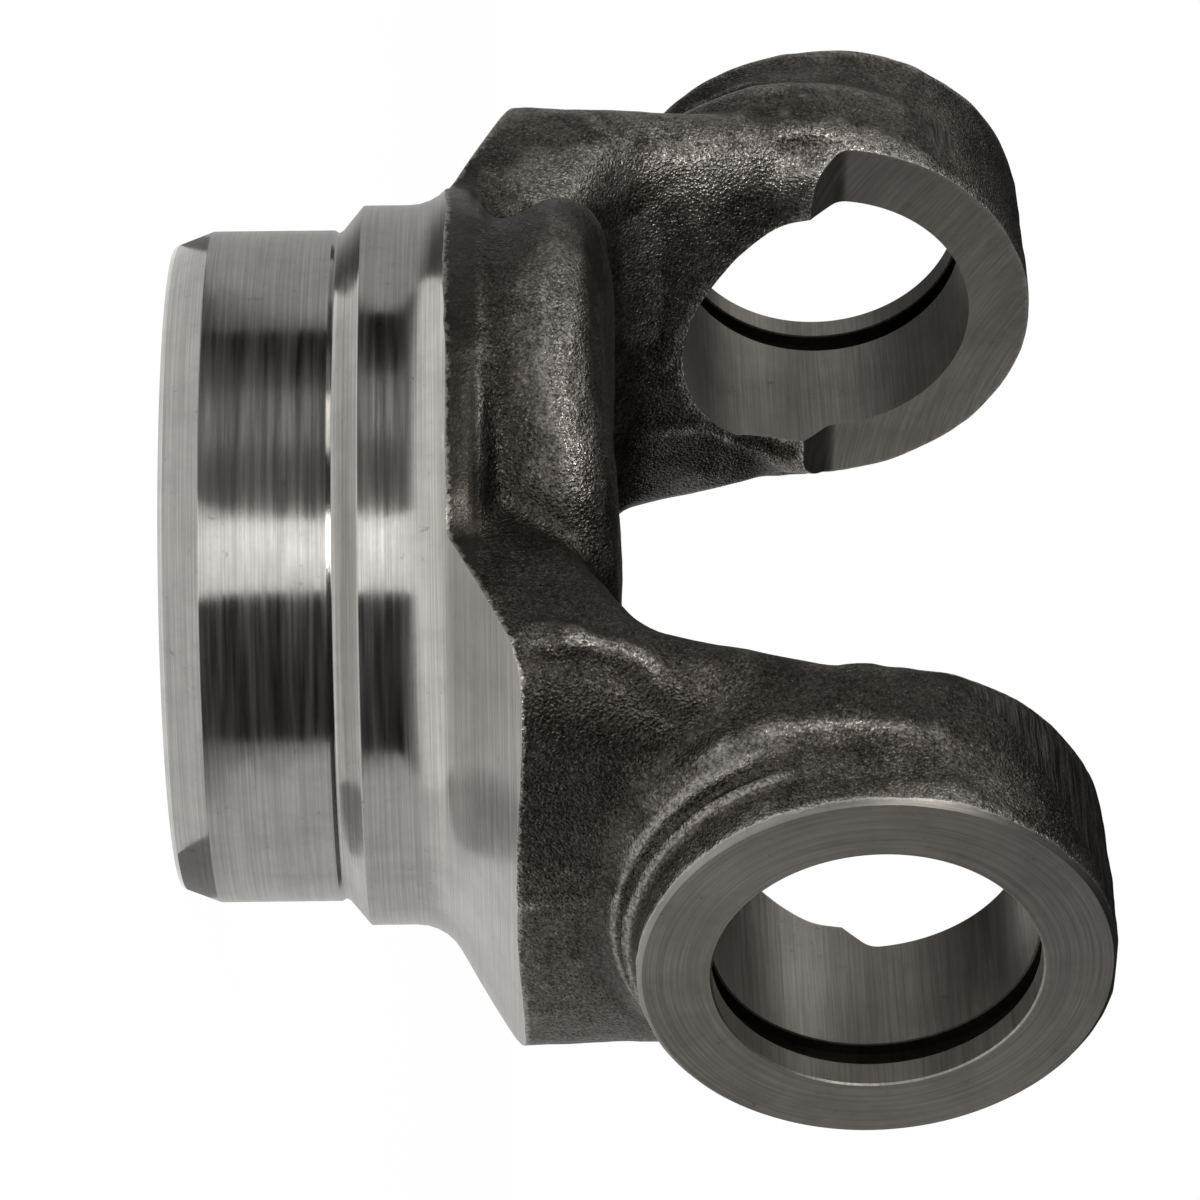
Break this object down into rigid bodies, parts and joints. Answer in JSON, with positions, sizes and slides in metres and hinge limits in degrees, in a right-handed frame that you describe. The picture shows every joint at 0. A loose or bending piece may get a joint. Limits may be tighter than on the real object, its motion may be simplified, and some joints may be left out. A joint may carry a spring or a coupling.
{
  "type": "forged yoke",
  "caption": "Forged steel tube yoke: a turned weld spigot with shoulder and cone, and a two-eared fork with a cross bore for universal joint bearing caps.",
  "frame": {"origin": "centre of the spigot's end face, on the shaft axis", "axes": "+Z along the shaft axis from the spigot's end to the ears, +X along the axis of the cross bore"},
  "size_m": [0.1002, 0.07, 0.0781],
  "materials": {
    "forged_steel": "dark forged skin, bright turned and milled faces"
  },
  "bodies": {
    "root": {"forged_yoke": "forged_steel"}
  },
  "joints": []
}
